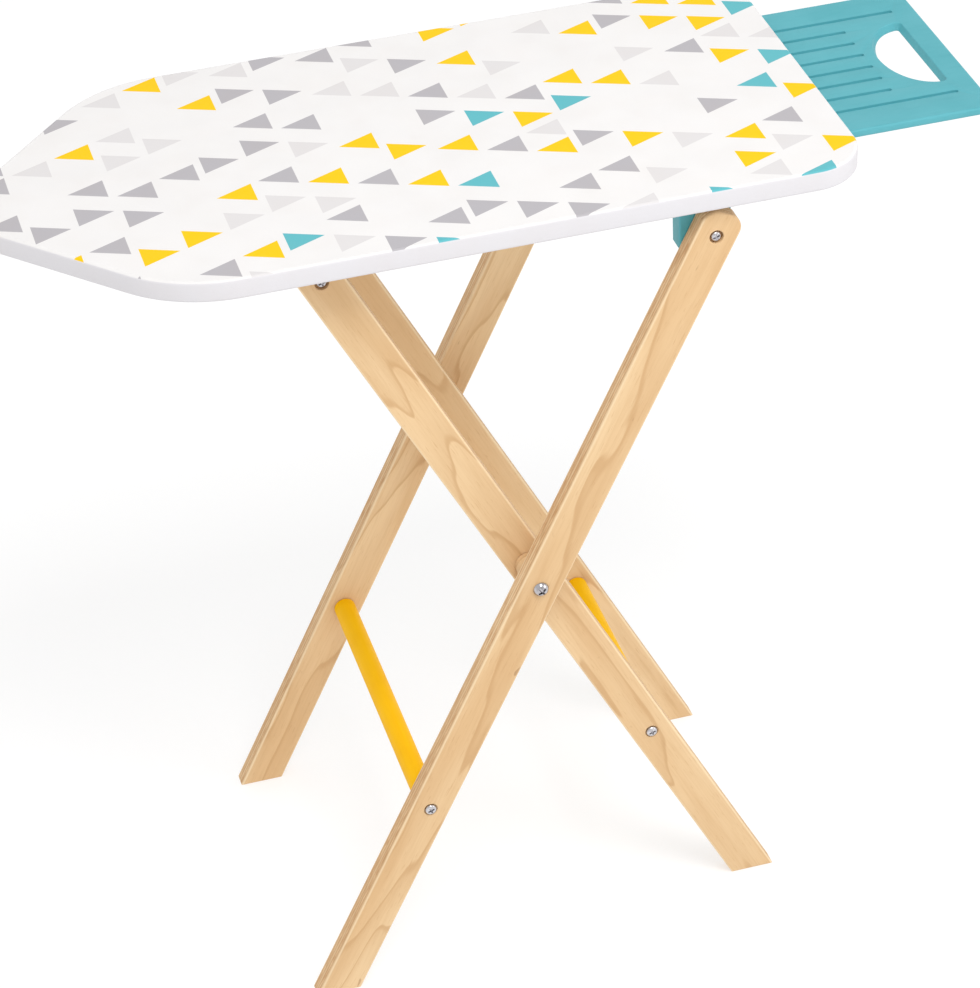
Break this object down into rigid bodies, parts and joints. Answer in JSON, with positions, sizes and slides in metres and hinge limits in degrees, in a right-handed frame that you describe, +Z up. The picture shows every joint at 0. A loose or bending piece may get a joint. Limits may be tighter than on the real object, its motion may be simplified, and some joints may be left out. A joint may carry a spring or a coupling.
{
  "type": "toy ironing board",
  "caption": "Toy ironing board with a rounded-nose wooden top, a grooved iron rest with a grip hole at its flat end, and a folding plywood scissor frame tied by round dowels.",
  "frame": {"origin": "on the floor, under the middle of the overall length and width", "axes": "+X from the board's nose towards the iron rest, +Y across the board, +Z up"},
  "size_m": [0.587, 0.242, 0.536],
  "materials": {
    "white_paint": "white paint on wood, satin, with a scattered triangle print",
    "teal_paint": "teal paint on wood, satin",
    "yellow_paint": "yellow paint on a wooden dowel, satin",
    "plywood": "bare plywood under clear lacquer, satin",
    "zinc_steel": "zinc-plated steel",
    "bright_steel": "bright plated steel"
  },
  "bodies": {
    "board": {"board_top": "white_paint", "iron_rest": "teal_paint", "iron_rest_screw_1": "zinc_steel", "iron_rest_screw_2": "zinc_steel", "iron_rest_screw_3": "zinc_steel", "hinge_block_near": "teal_paint", "hinge_block_far": "teal_paint", "hinge_block_screw_near_1": "zinc_steel", "hinge_block_screw_near_2": "zinc_steel", "hinge_block_screw_far_1": "zinc_steel", "hinge_block_screw_far_2": "zinc_steel", "catch_block_near": "teal_paint", "catch_block_far": "teal_paint", "catch_block_screw_near_1": "zinc_steel", "catch_block_screw_near_2": "zinc_steel", "catch_block_screw_far_1": "zinc_steel", "catch_block_screw_far_2": "zinc_steel", "hinge_screw_near": "zinc_steel", "hinge_screw_far": "zinc_steel"},
    "outer_frame": {"outer_leg_near": "plywood", "outer_leg_far": "plywood", "outer_crossbar": "yellow_paint", "outer_crossbar_screw_near": "zinc_steel", "outer_crossbar_screw_far": "zinc_steel", "pivot_spacer_near": "plywood", "pivot_spacer_far": "plywood"},
    "inner_frame": {"inner_leg_near": "plywood", "inner_leg_far": "plywood", "pivot_bolt_near": "bright_steel", "pivot_bolt_far": "bright_steel", "pivot_insert_near": "zinc_steel", "pivot_insert_far": "zinc_steel", "inner_crossbar": "yellow_paint", "inner_crossbar_screw_near": "zinc_steel", "inner_crossbar_screw_far": "zinc_steel", "inner_top_bar": "yellow_paint", "inner_top_bar_screw_near": "zinc_steel", "inner_top_bar_screw_far": "zinc_steel"}
  },
  "joints": [
    {"name": "frame_fold", "type": "hinge", "parent": "board", "child": "outer_frame", "pos_m": [0.10964, 0, 0.50205], "axis": [0, 1, 0], "range_deg": [0, 59.6]},
    {"name": "scissor_pivot", "type": "hinge", "parent": "outer_frame", "child": "inner_frame", "pos_m": [-0.0015, 0, 0.28203], "axis": [0, 1, 0], "range_deg": [-119.2, 0]}
  ],
  "couplings": [
    {"joint": "scissor_pivot", "follows": "frame_fold", "ratio": -2}
  ]
}
